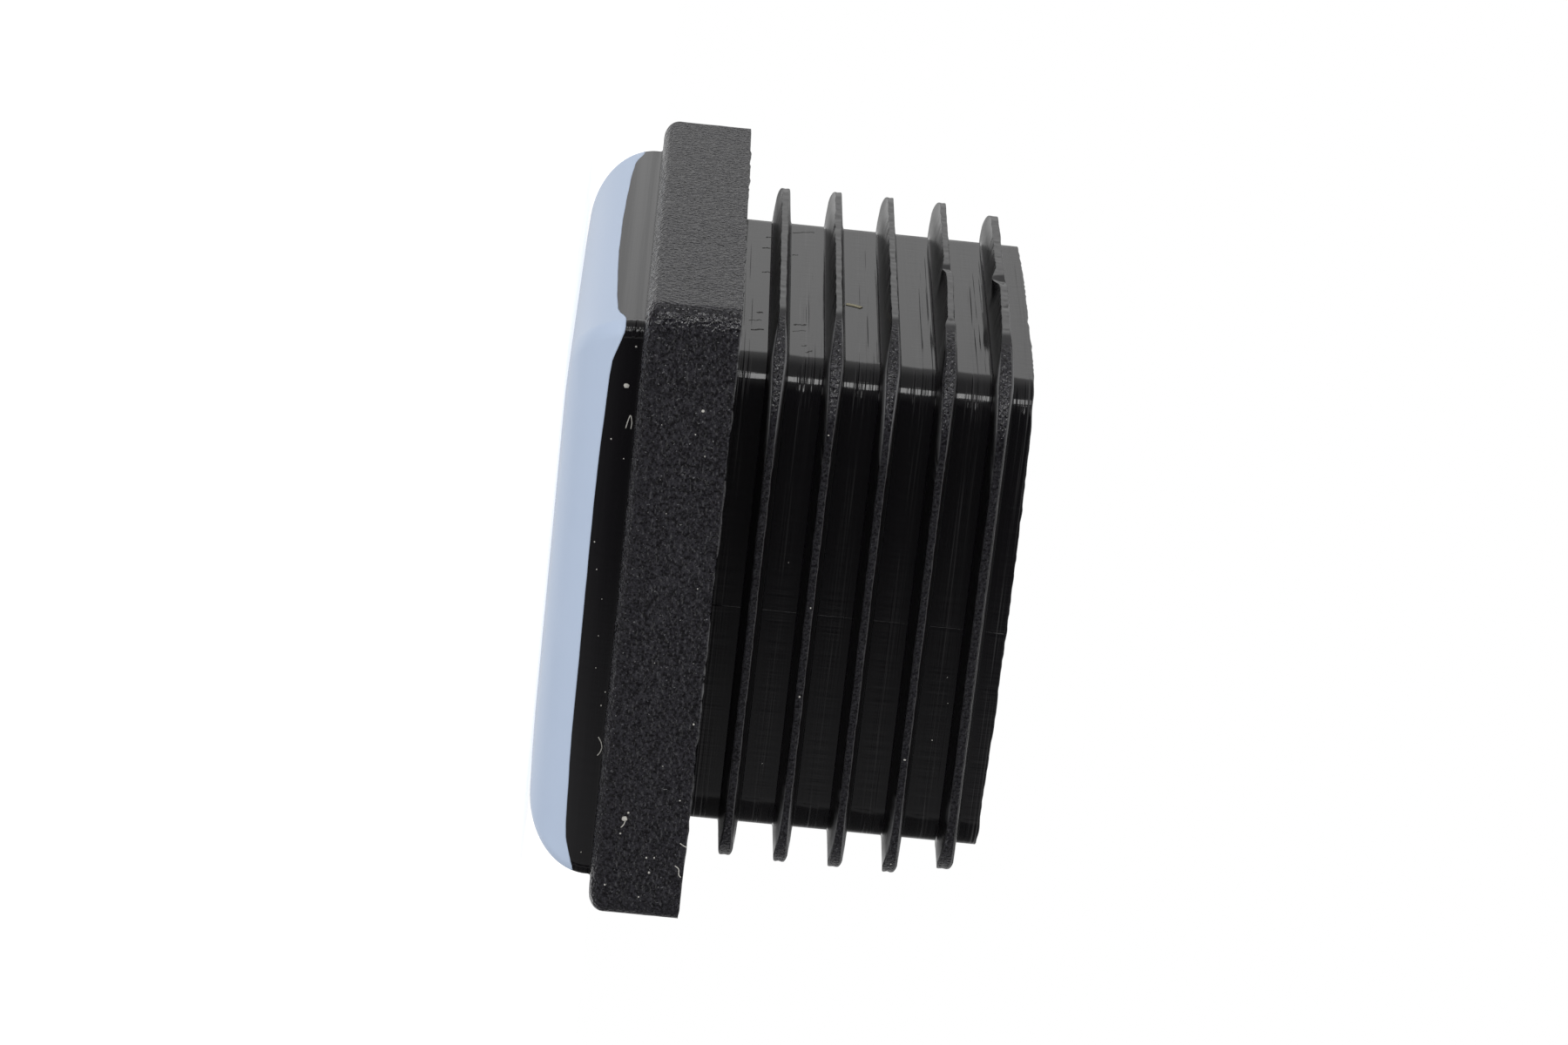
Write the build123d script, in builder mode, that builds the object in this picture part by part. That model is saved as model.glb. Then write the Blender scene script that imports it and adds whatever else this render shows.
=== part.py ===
"""Ribbed end cap with a glide face, for a square tube of 35 mm.

The cap stands on its glide face at Z = 0, with its axis along +Z.  The hollow stem
points up and is pushed into the tube, whose cut end then rests on the flange.  It is
two pieces: insert_body, a black moulding, and glide_skin, the thin slippery facing
bonded over the raised pad under the flange.  All sizes are in millimetres.
"""

from build123d import *
from math import asin, cos, degrees
import os

os.makedirs("parts", exist_ok=True)

# ---- driving dimensions -------------------------------------------------------------

# the square tube that the cap closes
TUBE_SIDE = 35.0
THINNEST_TUBE_WALL = 1.5
THICKEST_TUBE_WALL = 2.5

# flange, flush with the outside of the tube
FLANGE_THICKNESS = 5.0
FLANGE_CORNER_RADIUS = 1.2
FLANGE_EDGE_RADIUS = 0.85

# raised pad under the flange: flat in the middle, then a shallow crown and an edge roll
PAD_SETBACK = 1.55
PAD_CROWN_WIDTH = 4.3
PAD_CROWN_RADIUS = 60.0
PAD_EDGE_RADIUS = 3.5
PAD_WALL_HEIGHT = 0.24
PAD_CORNER_RADIUS = 0.8

# glide skin over the pad; its trimmed edge waves, and leaves a black band below the flange
SKIN_THICKNESS = 0.6
BAND_AT_MID_SIDE = 1.75
BAND_NEAR_CORNER = 1.57
BAND_AT_CORNER = 0.8
BAND_RISE_REACH = 8.8
BAND_CORNER_REACH = 2.8
BAND_CORNER_SLOPE = 0.6

# hollow stem, clear of the bore of the thickest tube
STEM_CLEARANCE = 1.45
STEM_CORNER_RADIUS = 2.25
STEM_WALL = 2.0
STEM_END_MARGIN = 1.8
CAVITY_CORNER_RADIUS = 1.2
CAVITY_FLOOR_THICKNESS = 3.6

# lamella ribs: they fill the bore of the thinnest tube and bend in the others
RIB_COUNT = 5
RIB_PITCH = 3.0
FIRST_RIB_HEIGHT = 2.2
RIB_CORNER_RADIUS = 5.8
RIB_ROOT_THICKNESS = 1.05
RIB_TIP_THICKNESS = 0.4
LEAD_RIB_SETBACK = 0.35

# ---- derived sizes ------------------------------------------------------------------

FLANGE_SIDE = TUBE_SIDE
PAD_SIDE = FLANGE_SIDE - 2 * PAD_SETBACK
STEM_SIDE = TUBE_SIDE - 2 * (THICKEST_TUBE_WALL + STEM_CLEARANCE)
CAVITY_SIDE = STEM_SIDE - 2 * STEM_WALL
RIB_SIDE = TUBE_SIDE - 2 * THINNEST_TUBE_WALL
LEAD_RIB_SIDE = RIB_SIDE - 2 * LEAD_RIB_SETBACK
STEM_LENGTH = FIRST_RIB_HEIGHT + (RIB_COUNT - 1) * RIB_PITCH + STEM_END_MARGIN

CROWN_ANGLE = asin(PAD_CROWN_WIDTH / (PAD_CROWN_RADIUS - PAD_EDGE_RADIUS))
CROWN_DROP = PAD_CROWN_RADIUS * (1 - cos(CROWN_ANGLE))
PAD_HEIGHT = CROWN_DROP + PAD_EDGE_RADIUS * cos(CROWN_ANGLE) + PAD_WALL_HEIGHT

FLANGE_BOTTOM = PAD_HEIGHT
FLANGE_TOP = FLANGE_BOTTOM + FLANGE_THICKNESS
FIRST_RIB_LEVEL = FLANGE_TOP + FIRST_RIB_HEIGHT
LEAD_RIB_LEVEL = FIRST_RIB_LEVEL + (RIB_COUNT - 1) * RIB_PITCH
STEM_TOP = FLANGE_TOP + STEM_LENGTH


# ---- shared forms -------------------------------------------------------------------

def square_on(section, length):
    """The solid that shows the same section along X and along Y, with mitred corners."""
    with BuildPart() as solid:
        with BuildSketch(Plane.XZ):
            add(section)
        extrude(amount=length / 2, both=True)
        with BuildSketch(Plane.YZ):
            add(section)
        extrude(amount=length / 2, both=True, mode=Mode.INTERSECT)
    return solid.part


def pad_block(inset):
    """The pad with its outer faces moved inwards by inset, up to the flange."""
    half_side = PAD_SIDE / 2 - inset
    edge_radius = PAD_EDGE_RADIUS - inset
    flat_half = half_side - edge_radius - PAD_CROWN_WIDTH
    crown_degrees = degrees(CROWN_ANGLE)
    with BuildSketch() as section:
        with BuildLine():
            flat = Line((0, inset), (flat_half, inset))
            crown = JernArc(flat @ 1, flat % 1, PAD_CROWN_RADIUS - inset, crown_degrees)
            edge_roll = JernArc(crown @ 1, crown % 1, edge_radius, 90 - crown_degrees)
            Polyline(edge_roll @ 1, (half_side, PAD_HEIGHT), (0, PAD_HEIGHT))
            mirror(about=Plane.YZ)
        make_face()
    with BuildPart() as block:
        add(square_on(section.sketch, 2 * half_side))
        with BuildSketch():
            RectangleRounded(2 * half_side, 2 * half_side, PAD_CORNER_RADIUS - inset)
        extrude(amount=PAD_HEIGHT, mode=Mode.INTERSECT)
    return block.part


def band_cutter():
    """What lies above the skin's wavy trimmed edge, along the pad's wall at -Y."""
    wall = PAD_SIDE / 2
    corner_level = FLANGE_BOTTOM - BAND_AT_CORNER
    mid_level = FLANGE_BOTTOM - BAND_AT_MID_SIDE
    near_corner = (wall - BAND_CORNER_REACH, FLANGE_BOTTOM - BAND_NEAR_CORNER)
    corner_slope = (1, BAND_CORNER_SLOPE)
    with BuildPart() as cutter:
        with BuildSketch(Plane.XZ.offset(wall - PAD_EDGE_RADIUS)):
            with BuildLine():
                level = Line((0, mid_level), (wall - BAND_RISE_REACH, mid_level))
                rise = Spline(level @ 1, near_corner, (wall, corner_level), tangents=[(1, 0), corner_slope])
                Polyline(
                    rise @ 1,
                    (FLANGE_SIDE / 2, corner_level),
                    (FLANGE_SIDE / 2, FLANGE_TOP),
                    (0, FLANGE_TOP),
                )
                mirror(about=Plane.YZ)
            make_face()
        extrude(amount=PAD_EDGE_RADIUS + PAD_SETBACK)
    return cutter.part


def grip_rib(side):
    """One lamella round the stem: a wedge whose corners are cut to a larger radius."""
    root = STEM_SIDE / 2
    tip = side / 2
    with BuildSketch() as section:
        with BuildLine():
            Polyline(
                (0, RIB_ROOT_THICKNESS / 2),
                (root, RIB_ROOT_THICKNESS / 2),
                (tip, RIB_TIP_THICKNESS / 2),
                (tip, -RIB_TIP_THICKNESS / 2),
                (root, -RIB_ROOT_THICKNESS / 2),
                (0, -RIB_ROOT_THICKNESS / 2),
            )
            mirror(about=Plane.YZ)
        make_face()
    with BuildPart() as rib:
        add(square_on(section.sketch, side))
        with BuildSketch():
            RectangleRounded(side, side, RIB_CORNER_RADIUS)
        extrude(amount=RIB_ROOT_THICKNESS, both=True, mode=Mode.INTERSECT)
    return rib.part


# ---- glide skin ---------------------------------------------------------------------

pad = pad_block(inset=0)

with BuildPart() as glide_skin:
    add(pad)
    add(pad_block(inset=SKIN_THICKNESS), mode=Mode.SUBTRACT)
    with PolarLocations(radius=0, count=4):
        add(band_cutter(), mode=Mode.SUBTRACT)

glide_skin.part.label = "glide_skin"

# ---- insert body --------------------------------------------------------------------

with BuildPart() as insert_body:
    # flange, with a rounded edge on the glide side and a sharp one against the tube
    with BuildSketch(Plane.XY.offset(FLANGE_BOTTOM)):
        RectangleRounded(FLANGE_SIDE, FLANGE_SIDE, FLANGE_CORNER_RADIUS)
    extrude(amount=FLANGE_THICKNESS)
    fillet(insert_body.faces().sort_by(Axis.Z)[0].edges(), radius=FLANGE_EDGE_RADIUS)

    # pad under the skin, with the band of its walls that the skin leaves bare
    add(pad)
    add(glide_skin.part, mode=Mode.SUBTRACT)

    # stem
    with BuildSketch(Plane.XY.offset(FLANGE_TOP)):
        RectangleRounded(STEM_SIDE, STEM_SIDE, STEM_CORNER_RADIUS)
    extrude(amount=STEM_LENGTH)

    # ribs; the last, at the open end, is smaller and leads the cap into the tube
    with Locations([(0, 0, FIRST_RIB_LEVEL + place * RIB_PITCH) for place in range(RIB_COUNT - 1)]):
        add(grip_rib(RIB_SIDE))
    with Locations((0, 0, LEAD_RIB_LEVEL)):
        add(grip_rib(LEAD_RIB_SIDE))

    # cavity, open at the end of the stem
    with BuildSketch(Plane.XY.offset(CAVITY_FLOOR_THICKNESS)):
        RectangleRounded(CAVITY_SIDE, CAVITY_SIDE, CAVITY_CORNER_RADIUS)
    extrude(amount=STEM_TOP - CAVITY_FLOOR_THICKNESS, mode=Mode.SUBTRACT)

insert_body.part.label = "insert_body"

# ---- export -------------------------------------------------------------------------

export_step(glide_skin.part, "parts/glide_skin.step")
export_step(insert_body.part, "parts/insert_body.step")
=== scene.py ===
import math

import bmesh
import bpy
import numpy as np
from mathutils import Matrix, Vector


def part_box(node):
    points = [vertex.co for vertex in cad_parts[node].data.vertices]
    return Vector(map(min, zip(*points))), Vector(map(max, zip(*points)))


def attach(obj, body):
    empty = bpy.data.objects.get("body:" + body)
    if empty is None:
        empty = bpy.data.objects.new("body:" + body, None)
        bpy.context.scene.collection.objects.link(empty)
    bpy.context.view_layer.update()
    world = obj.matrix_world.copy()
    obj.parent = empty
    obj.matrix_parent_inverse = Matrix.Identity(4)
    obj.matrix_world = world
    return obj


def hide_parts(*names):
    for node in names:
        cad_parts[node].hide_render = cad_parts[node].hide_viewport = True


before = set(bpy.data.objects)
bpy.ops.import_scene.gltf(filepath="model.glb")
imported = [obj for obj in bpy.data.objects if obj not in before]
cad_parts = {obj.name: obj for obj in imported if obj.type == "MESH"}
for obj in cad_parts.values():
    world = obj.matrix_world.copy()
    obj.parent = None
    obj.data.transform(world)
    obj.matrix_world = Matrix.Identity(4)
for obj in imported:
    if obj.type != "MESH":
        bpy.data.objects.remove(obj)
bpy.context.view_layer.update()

# ---- sizes, in millimetres -----------------------------------------------------------

MM = 0.001

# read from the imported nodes
body_low, body_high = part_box("insert_body")
FLANGE_HALF = body_high.x / MM
STEM_TOP = body_high.z / MM
SKIN_THICKNESS = body_low.z / MM

# pad and flange
PAD_SETBACK = 1.55
PAD_CROWN_WIDTH = 4.3
PAD_CROWN_RADIUS = 60.0
PAD_EDGE_RADIUS = 3.5
PAD_WALL_HEIGHT = 0.24
PAD_CORNER_RADIUS = 0.8
FLANGE_CORNER_RADIUS = 1.2
FLANGE_EDGE_RADIUS = 0.85
FLANGE_THICKNESS = 5.0

PAD_HALF = FLANGE_HALF - PAD_SETBACK
CENTRES_APART = PAD_CROWN_RADIUS - PAD_EDGE_RADIUS
CROWN_ANGLE = math.asin(PAD_CROWN_WIDTH / CENTRES_APART)
FLAT_HALF = PAD_HALF - PAD_EDGE_RADIUS - PAD_CROWN_WIDTH
EDGE_CENTRE_HALF = PAD_HALF - PAD_EDGE_RADIUS
EDGE_CENTRE_LEVEL = PAD_CROWN_RADIUS - CENTRES_APART * math.cos(CROWN_ANGLE)
FLANGE_BOTTOM = EDGE_CENTRE_LEVEL + PAD_WALL_HEIGHT
FLANGE_TOP = FLANGE_BOTTOM + FLANGE_THICKNESS

# the skin, and the pad's core inside it
SEAM_GAP = 0.015
INNER_CORNER_RADIUS = PAD_CORNER_RADIUS - SKIN_THICKNESS / 2

# stem, cavity and ribs
STEM_HALF = 13.55
STEM_CORNER_RADIUS = 2.25
CAVITY_HALF = 11.55
CAVITY_CORNER_RADIUS = 1.2
CAVITY_FLOOR = 3.6
RIB_COUNT = 5
RIB_PITCH = 3.0
FIRST_RIB_HEIGHT = 2.2
FIRST_RIB_LEVEL = FLANGE_TOP + FIRST_RIB_HEIGHT
RIB_REACH_X = 15.87
RIB_REACH_Y = 15.99
RIB_SETBACKS = (0.06, 0.0, 0.0, 0.0, 0.36)
RIB_CORNER_RADIUS = 5.75
RIB_ROOT_HALF = 0.525
RIB_TIP_HALF_X = 0.17
RIB_TIP_HALF_Y = 0.22

# ---- stations round the cap ----------------------------------------------------------

SIDE_STEPS = 124
CORNER_STEPS = 24


def make_stations():
    """Each station's quarter, its share along a side, and its turn in a corner."""
    side_share = [-1 + 2 * step / SIDE_STEPS for step in range(SIDE_STEPS)]
    corner_turn = [math.pi / 2 * step / CORNER_STEPS for step in range(CORNER_STEPS)]
    share = np.array((side_share + [1.0] * CORNER_STEPS) * 4)
    turn = np.array(([0.0] * SIDE_STEPS + corner_turn) * 4)
    quarter = np.repeat(np.arange(4) * math.pi / 2, SIDE_STEPS + CORNER_STEPS)
    return quarter, share, turn


QUARTER, SHARE, TURN = make_stations()
STATIONS = len(QUARTER)


def rounded_square(half, corner):
    """X and Y of a rounded square, one point for each station."""
    straight = half - corner
    out = straight + corner * np.cos(TURN)
    across = SHARE * straight + corner * np.sin(TURN)
    x = out * np.cos(QUARTER) - across * np.sin(QUARTER)
    y = out * np.sin(QUARTER) + across * np.cos(QUARTER)
    return x, y


# 1 in the middle of each corner, 0 along the sides
CORNERNESS = np.sin(2 * TURN)

# the cutter's lines in the mould are deeper in the corners
CUTTER_LINES = 0.40 + 0.60 * CORNERNESS

# the band over the skin is polished better on its flat sides
BAND_LINES = 0.08 + 0.92 * CORNERNESS

# the eroded grain of the flange is a little shallower and glossier in the corners
FLANGE_FINISH = {"grain": 1 - 0.12 * CORNERNESS, "dull": -0.25 * CORNERNESS}

# facing of each station: 1 on the sides at +-X, 0 on the sides at +-Y
FACES_X = np.cos(QUARTER + TURN) ** 2

# distance round the flange, for anything that varies along the perimeter
flange_x, flange_y = rounded_square(FLANGE_HALF, FLANGE_CORNER_RADIUS)
steps = np.hypot(np.diff(flange_x, append=flange_x[0]), np.diff(flange_y, append=flange_y[0]))
PERIMETER = steps.sum()
WALKED = np.concatenate([[0.0], np.cumsum(steps)[:-1]])


def wave(seed, spacing, amount):
    """A smooth random wave round the cap, from -amount to amount, with knots this far apart."""
    knots = int(PERIMETER / spacing)
    values = np.random.default_rng(seed).uniform(-1, 1, knots)
    place = WALKED / PERIMETER * knots
    before = place.astype(int) % knots
    part = place - place.astype(int)
    ease = part * part * (3 - 2 * part)
    return amount * (values[before] * (1 - ease) + values[(before + 1) % knots] * ease)


def with_waves(value, waves):
    """The value with waves added; each is given by its seed, spacing and amount."""
    for one in waves:
        value = value + wave(*one)
    return value


def near(places, x, y, reach):
    """How close the stations of a ring are to a point: 1 there, fading out over the reach."""
    distance = np.hypot(places[0] - x, places[1] - y)
    return np.exp(-((distance / reach) ** 2))


# ---- shells --------------------------------------------------------------------------

# what the material reads at each point: eroded grain, cutter's lines, dullness, and pale wear,
# which on the rib tips' edges is also a painted highlight
SURFACE_KEYS = ("grain", "lines", "dull", "worn")


def new_object(name, data):
    thing = bpy.data.objects.new(name, data)
    bpy.context.scene.collection.objects.link(thing)
    return thing


class Shell:
    """A closed skin of rings, from the middle of its lower face to that of its upper one."""

    def __init__(self, first_level, last_level):
        self.first_level = first_level
        self.last_level = last_level
        self.rings = []
        self.finish = {key: [] for key in SURFACE_KEYS}

    def add_points(self, x, y, level, **finish):
        self.rings.append(np.stack([x, y, np.broadcast_to(level, STATIONS)], 1))
        for key in SURFACE_KEYS:
            self.finish[key].append(np.broadcast_to(finish.get(key, 0.0), STATIONS))

    def add(self, half, corner, level, **finish):
        x, y = rounded_square(half, np.minimum(corner, half))
        self.add_points(x, y, level, **finish)

    def build(self, name, material, sharp_degrees):
        count = len(self.rings)
        ends = [[[0, 0, self.first_level]], [[0, 0, self.last_level]]]
        points = np.concatenate(self.rings + ends)
        here = np.arange(STATIONS)
        after = (here + 1) % STATIONS
        faces = []
        for ring in range(count - 1):
            low = ring * STATIONS
            high = low + STATIONS
            faces += np.stack([low + here, low + after, high + after, high + here], 1).tolist()
        first = count * STATIONS
        top = (count - 1) * STATIONS
        faces += [[first, int(b), int(a)] for a, b in zip(here, after)]
        faces += [[top + int(a), top + int(b), first + 1] for a, b in zip(here, after)]
        mesh = bpy.data.meshes.new(name)
        mesh.from_pydata((points * MM).tolist(), [], faces)
        for key, rows in self.finish.items():
            attribute = mesh.attributes.new(key, "FLOAT", "POINT")
            values = np.concatenate(rows + [[rows[0][0]], [rows[-1][0]]])
            attribute.data.foreach_set("value", values.astype(np.float32))
        mesh.shade_smooth()
        mesh.set_sharp_from_angle(angle=math.radians(sharp_degrees))
        mesh.materials.append(material)
        return new_object(name, mesh)


def pad_section(turn, inset):
    """Half side and level of the pad's section where it has turned up by this angle."""
    crown = turn < CROWN_ANGLE
    radius = np.where(crown, PAD_CROWN_RADIUS, PAD_EDGE_RADIUS) - inset
    centre_half = np.where(crown, FLAT_HALF, EDGE_CENTRE_HALF)
    centre_level = np.where(crown, PAD_CROWN_RADIUS, EDGE_CENTRE_LEVEL)
    return centre_half + radius * np.sin(turn), centre_level - radius * np.cos(turn)


def turn_at(level, inset):
    """The angle that the pad's edge roll has turned up to at this level."""
    return np.arccos(np.clip((EDGE_CENTRE_LEVEL - level) / (PAD_EDGE_RADIUS - inset), 0, 1))


# ---- glide skin ----------------------------------------------------------------------

# the skin's trimmed edge: distance from the middle of a side, and level there
TRIM_ON_X_SIDES = (
    (0, 2.09), (3, 2.09), (6.6, 2.16), (10.6, 2.27), (13.3, 2.42),
    (14, 2.56), (14.5, 2.78), (15, 2.90), (16, 2.93),
)
TRIM_ON_Y_SIDES = (
    (0, 2.16), (6.5, 2.15), (9.5, 2.19), (11.6, 2.26), (13.1, 2.31),
    (14, 2.39), (14.5, 2.56), (15.1, 2.76), (15.5, 2.88), (16, 2.93),
)

# and small waves in it: seed, spacing and amount of each
TRIM_WAVES = ((3, 7.0, 0.02), (4, 1.1, 0.010))


def trim_levels():
    """Level of the skin's trimmed edge at each station."""
    x, y = rounded_square(PAD_HALF, PAD_CORNER_RADIUS)
    from_middle = np.minimum(np.abs(x), np.abs(y)) + PAD_HALF - np.maximum(np.abs(x), np.abs(y))
    on_x_sides = np.interp(from_middle, *zip(*TRIM_ON_X_SIDES))
    on_y_sides = np.interp(from_middle, *zip(*TRIM_ON_Y_SIDES))
    return with_waves(on_y_sides + (on_x_sides - on_y_sides) * FACES_X, TRIM_WAVES)


TRIM = trim_levels()

# the trimmed edge stands out a little where it is high, near the corners
TRIM_LIP = 0.025
LIP_START = 2.3
LIP_RISE = 0.5

# the rounding of the trimmed edge: where it starts, and how far back and in its rings are
ROUNDING_START = 0.03
ROUNDING_RINGS = ((0.016, 0.004), (0.006, 0.016), (0.0, 0.04))

# rings on the flat middle, half side of each, and round the crown and the edge's roll
OUTER_FLAT_RINGS = (3.0, 6.0, FLAT_HALF)
INNER_FLAT_RING = 5.0
CROWN_RINGS = (0.35, 0.7, 1.0)
CROWN_LIMIT = 0.999  # keeps the last of them on the crown's side of its edge
EDGE_ROLL_RINGS = 16
INNER_ROLL_RINGS = 9
SKIN_SHARP_DEGREES = 40


def glide_skin(material):
    skin = Shell(0.0, SKIN_THICKNESS)
    trim_turn = turn_at(TRIM, 0)
    for half in OUTER_FLAT_RINGS:
        skin.add(half, PAD_CORNER_RADIUS, 0.0)
    for share in CROWN_RINGS:
        half, level = pad_section(share * CROWN_ANGLE * CROWN_LIMIT, 0)
        skin.add(half, PAD_CORNER_RADIUS, level)
    for share in np.linspace(0, 1, EDGE_ROLL_RINGS + 1)[1:]:
        turn = CROWN_ANGLE + share * (trim_turn - ROUNDING_START - CROWN_ANGLE)
        half, level = pad_section(turn, 0)
        skin.add(half, PAD_CORNER_RADIUS, level)
    lip = TRIM_LIP * np.clip((TRIM - LIP_START) / LIP_RISE, 0, 1)
    for back, inset in ROUNDING_RINGS:
        half, level = pad_section(trim_turn - back, inset)
        skin.add(half + lip, PAD_CORNER_RADIUS, level)
    inner_turn = turn_at(TRIM, SKIN_THICKNESS)
    for share in np.linspace(1, 0, INNER_ROLL_RINGS):
        turn = CROWN_ANGLE + share * (inner_turn - CROWN_ANGLE)
        half, level = pad_section(turn, SKIN_THICKNESS)
        skin.add(half, INNER_CORNER_RADIUS, level)
    for half in (FLAT_HALF, INNER_FLAT_RING):
        skin.add(half, INNER_CORNER_RADIUS, SKIN_THICKNESS)
    return skin.build("glide_skin_surface", material, SKIN_SHARP_DEGREES)


# ---- insert body: core, band and flange ----------------------------------------------

CORE_ROLL_RINGS = (0.0, 0.35, 0.7, 1.0)
BAND_RINGS = 8

# the fillet between the band and the flange: its start, its middle and its reach
BAND_FILLET_START = 0.10
BAND_FILLET_MIDDLE = 0.03
BAND_FILLET_REACH = 0.12


def add_core_and_band(body):
    core_inset = SKIN_THICKNESS + SEAM_GAP
    ledge = TRIM + SEAM_GAP
    core_turn = turn_at(ledge, core_inset)
    for half in (INNER_FLAT_RING, FLAT_HALF):
        body.add(half, INNER_CORNER_RADIUS, core_inset, lines=CUTTER_LINES)
    for share in CORE_ROLL_RINGS:
        turn = CROWN_ANGLE + share * (core_turn - CROWN_ANGLE)
        half, level = pad_section(turn, core_inset)
        body.add(half, INNER_CORNER_RADIUS, level, lines=CUTTER_LINES)
    band_top = FLANGE_BOTTOM - BAND_FILLET_START
    for share in np.linspace(0, 1, BAND_RINGS):
        level = ledge + share * (band_top - ledge)
        half = pad_section(turn_at(level, 0), 0)[0]
        body.add(half, PAD_CORNER_RADIUS, level, lines=BAND_LINES)
    middle_half = PAD_HALF + BAND_FILLET_MIDDLE
    middle_level = FLANGE_BOTTOM - BAND_FILLET_MIDDLE
    body.add(middle_half, PAD_CORNER_RADIUS, middle_level, lines=BAND_LINES)
    body.add(PAD_HALF + BAND_FILLET_REACH, PAD_CORNER_RADIUS, FLANGE_BOTTOM, grain=1)


EDGE_ROUND_DEGREES = np.linspace(10, 90, 9)
WALL_RINGS = 8
WALL_END = 0.10  # how far below the flange's top face the last of them is

# shallow pits in the flange's wall, a wave for each ring
PIT_SEED = 20
PIT_SEED_RANGE = 10
PIT_SPACING = 0.5
PIT_DEPTH = 0.012

# the sharp edge against the tube: flash that stands up, a ragged outline, and pale chips
FLASH_WAVES = ((31, 0.7, 0.04), (32, 3.1, 0.05), (34, 0.4, 0.03))
FLASH_LIMITS = (-0.05, 0.12)
RAGGED_WAVE = (33, 0.8, 0.03)
CHIP_WAVES = ((35, 0.45, 1.0), (36, 5.0, 0.8))
CHIP_THRESHOLD = 0.1
FLASH_FOOT = 0.04
FLASH_THICKNESS = 0.07
WORN_BELOW_FLASH = 0.3
WORN_BEHIND_FLASH = 0.5

# grain of the top face, and half side and grain of the rings on it
TOP_GRAIN = 0.6
TOP_RINGS = ((FLANGE_HALF - 0.2, 0.6), (FLANGE_HALF - 0.28, 0.6), (15.2, 0.3))
TOP_INNER_GRAIN = 0.1
STEM_FOOT = 0.1


def add_flange(body):
    def ring(inset, level, **finish):
        body.add(FLANGE_HALF - inset, FLANGE_CORNER_RADIUS, level, **finish)

    radius = FLANGE_EDGE_RADIUS
    ring(radius, FLANGE_BOTTOM, **FLANGE_FINISH)
    for turn in np.radians(EDGE_ROUND_DEGREES):
        inset = radius * (1 - np.sin(turn))
        ring(inset, FLANGE_BOTTOM + radius * (1 - np.cos(turn)), **FLANGE_FINISH)
    wall_bottom = FLANGE_BOTTOM + radius
    for share in np.linspace(0, 1, WALL_RINGS)[1:]:
        seed = int(PIT_SEED + PIT_SEED_RANGE * share)
        pits = np.abs(wave(seed, PIT_SPACING, PIT_DEPTH))
        level = wall_bottom + share * (FLANGE_TOP - WALL_END - wall_bottom)
        ring(pits, level, **FLANGE_FINISH)
    flash = FLANGE_TOP + np.clip(with_waves(0, FLASH_WAVES), *FLASH_LIMITS)
    ragged = np.abs(wave(*RAGGED_WAVE))
    chips = np.clip(with_waves(0, CHIP_WAVES) - CHIP_THRESHOLD, 0, 1)
    ring(0, FLANGE_TOP - FLASH_FOOT, worn=WORN_BELOW_FLASH * chips, **FLANGE_FINISH)
    ring(ragged, flash, grain=TOP_GRAIN, worn=chips)
    behind_flash = FLANGE_HALF - ragged - FLASH_THICKNESS
    worn = WORN_BEHIND_FLASH * chips
    body.add(behind_flash, FLANGE_CORNER_RADIUS, flash, grain=TOP_GRAIN, worn=worn)
    for half, grain in TOP_RINGS:
        body.add(half, FLANGE_CORNER_RADIUS, FLANGE_TOP, grain=grain)
    body.add(STEM_HALF + STEM_FOOT, STEM_CORNER_RADIUS, FLANGE_TOP, grain=TOP_INNER_GRAIN)


# ---- insert body: ribs ---------------------------------------------------------------

# flaws of the rib tips on the side at -X: the rib, the Y where each starts, peaks and ends,
# shift of the tip's lower and upper edge, and how far back each edge is worn
RIB_FLAWS = (
    (1, 7.4, 6.0, 4.4, -0.06, 0.04, 0.03, 0.0),
    (2, -3.5, -6.5, -11.0, -0.05, 0.02, 0.0, 0.0),
    (3, 0.5, -0.8, -1.6, -0.10, -0.02, 0.03, 0.02),
    (3, -0.3, -0.9, -1.5, 0.0, 0.02, 0.08, 0.12),
    (3, -1.0, -2.0, -9.4, 0.11, 0.13, 0.0, 0.0),
    (3, -9.2, -10.5, -13.4, -0.16, 0.06, 0.04, 0.0),
    (4, 1.2, -0.6, -1.6, -0.28, 0.0, 0.05, 0.02),
    (4, -0.1, -0.9, -1.8, 0.0, 0.05, 0.05, 0.14),
    (4, -1.0, -2.2, -9.6, 0.13, 0.13, 0.0, 0.0),
    (4, -5.0, -5.6, -6.3, 0.04, -0.05, 0.0, 0.04),
    (4, -9.0, -11.5, -14.0, -0.06, 0.04, 0.0, 0.0),
)

# pale scratches along the tips on that side: the rib, and the Y where each starts and ends
TIP_SCRATCHES = ((3, 8.8, 5.4), (4, -4.2, -9.5))
SCRATCH_STRENGTH = 0.5
FLAWED_SIDE_LIMIT = -13.5

# waves along the ribs: seed for the first rib, spacing and amount; upper edges are further on
UPPER_EDGE_SEEDS = 10
RIB_BEND = (100, 1.3, 0.02)
RIB_JITTER = (120, 0.45, 0.010)
RIB_WEAR = (140, 0.9, 0.015)
RIB_DIPS = (150, 0.8, 0.03)
RIB_RUB_AND_HIGHLIGHT = (160, 0.5, 1.0)

# the tips widen to leaf-shaped, grainy flats between these distances from a side's middle
LEAF_START_ON_Y_SIDES = 8.6
LEAF_START_SHIFT = 2.0
LEAF_FULL = 12.2
TIP_GRAIN_ON_Y_SIDES = 0.65
LEAF_DIP = 0.02

# worn edges of the leaves, painted pale: partly wear, partly a painted highlight where the
# edges catch the light
RUB_AND_HIGHLIGHT_STRENGTH = 0.7
RUB_AND_HIGHLIGHT_OFFSET = 0.6

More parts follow.
